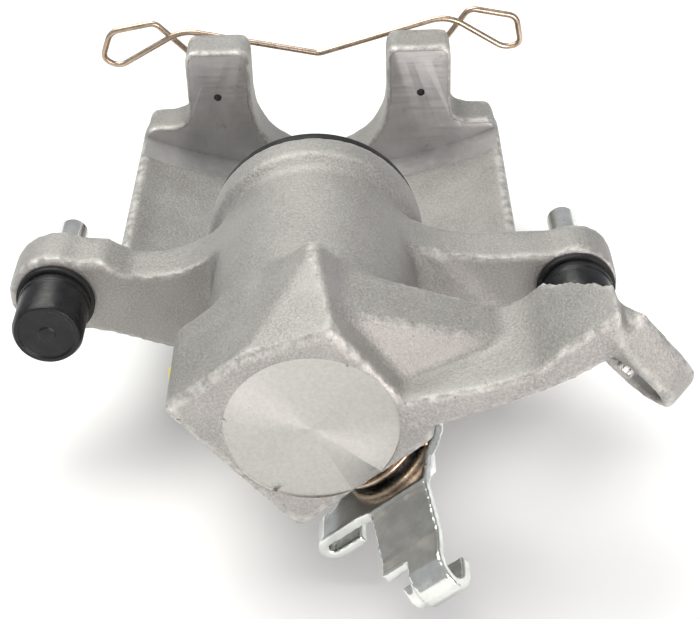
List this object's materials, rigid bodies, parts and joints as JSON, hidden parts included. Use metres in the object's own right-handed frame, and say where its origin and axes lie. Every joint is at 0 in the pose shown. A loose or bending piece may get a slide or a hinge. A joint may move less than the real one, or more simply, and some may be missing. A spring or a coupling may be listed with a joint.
{
  "type": "brake caliper",
  "caption": "Rear floating disc-brake caliper: cast housing with bridge and fingers, piston, sliding guide pins, pad spring and a parking-brake lever.",
  "frame": {"origin": "on the piston's axis, in the plane of the housing's mouth, which is where the two guide pins hold the caliper on its carrier", "axes": "+Y along the piston's axis, outboard towards the disc and the fingers; +Z towards the wheel's axle, with the bridge on the -Z side; +X along the disc's edge, towards the cable's arm"},
  "size_m": [0.1603, 0.1983, 0.0765],
  "materials": {
    "cast_aluminium": "fine sand-cast and shot-blasted, machined where it fits",
    "turned_steel": "turned",
    "zinc_plate": "bright zinc plate",
    "spring_wire": "drawn wire, straw tempered",
    "black_rubber": "moulded, satin",
    "black_plastic": "moulded, semi-gloss",
    "yellow_plastic": "moulded",
    "brass": "turned"
  },
  "bodies": {
    "caliper": {"housing": "cast_aluminium", "piston_seal": "black_rubber", "dust_boot": "black_rubber", "inlet_plug": "yellow_plastic", "guide_bush_left": "black_rubber", "guide_bush_right": "black_rubber", "dust_cap_left": "black_plastic", "dust_cap_right": "black_plastic", "shaft_bush": "brass", "shaft_seal": "black_rubber", "stop_pin": "turned_steel", "return_spring": "spring_wire", "spring_cage": "zinc_plate", "cage_ring": "zinc_plate", "cage_spring": "spring_wire", "pad_spring": "spring_wire"},
    "piston_body": {"piston": "turned_steel", "nut_bearing": "turned_steel", "clutch_spring": "spring_wire", "spring_seat": "zinc_plate", "piston_ring": "spring_wire"},
    "nut_body": {"adjuster_nut": "turned_steel"},
    "lever_body": {"lever": "zinc_plate", "lever_shaft": "turned_steel", "lever_washer": "zinc_plate", "lever_nut": "zinc_plate"},
    "spindle_body": {"adjuster_spindle": "turned_steel", "spindle_seal": "black_rubber", "thrust_washer": "turned_steel", "pushrod": "turned_steel"},
    "left_pin": {"guide_pin_left": "zinc_plate"},
    "right_pin": {"guide_pin_right": "zinc_plate"},
    "bleeder": {"bleed_screw": "turned_steel", "bleed_cap": "black_rubber"}
  },
  "joints": [
    {"name": "piston_slide", "type": "slide", "parent": "caliper", "child": "piston_body", "axis": [0, 1, 0], "range_m": [0, 0.02], "deforming": ["dust_boot"]},
    {"name": "nut_turn", "type": "hinge", "parent": "piston_body", "child": "nut_body", "pos_m": [0, -0.022, 0], "axis": [0, 1, 0], "range_deg": [0, 901]},
    {"name": "lever_pivot", "type": "hinge", "parent": "caliper", "child": "lever_body", "pos_m": [0, -0.066, 0], "axis": [-0.6293, 0, 0.7771], "range_deg": [0, 30], "stiffness_Nm_per_rad": 1.2, "springref_deg": -20.05, "deforming": ["return_spring"]},
    {"name": "spindle_slide", "type": "slide", "parent": "caliper", "child": "spindle_body", "axis": [0, 1, 0], "range_m": [0, 0.0016]},
    {"name": "left_pin_slide", "type": "slide", "parent": "caliper", "child": "left_pin", "axis": [0, 1, 0], "range_m": [-0.002, 0.012]},
    {"name": "right_pin_slide", "type": "slide", "parent": "caliper", "child": "right_pin", "axis": [0, 1, 0], "range_m": [-0.002, 0.012]},
    {"name": "bleeder_turn", "type": "hinge", "parent": "caliper", "child": "bleeder", "pos_m": [-0.01, -0.034, -0.034], "axis": [0, 0, -1], "range_deg": [0, 180]}
  ],
  "couplings": [
    {"joint": "nut_turn", "follows": "piston_slide", "rad_per_m": 785.4},
    {"joint": "spindle_slide", "follows": "lever_pivot", "m_per_rad": 0.003},
    {"joint": "right_pin_slide", "follows": "left_pin_slide", "ratio": 1}
  ]
}
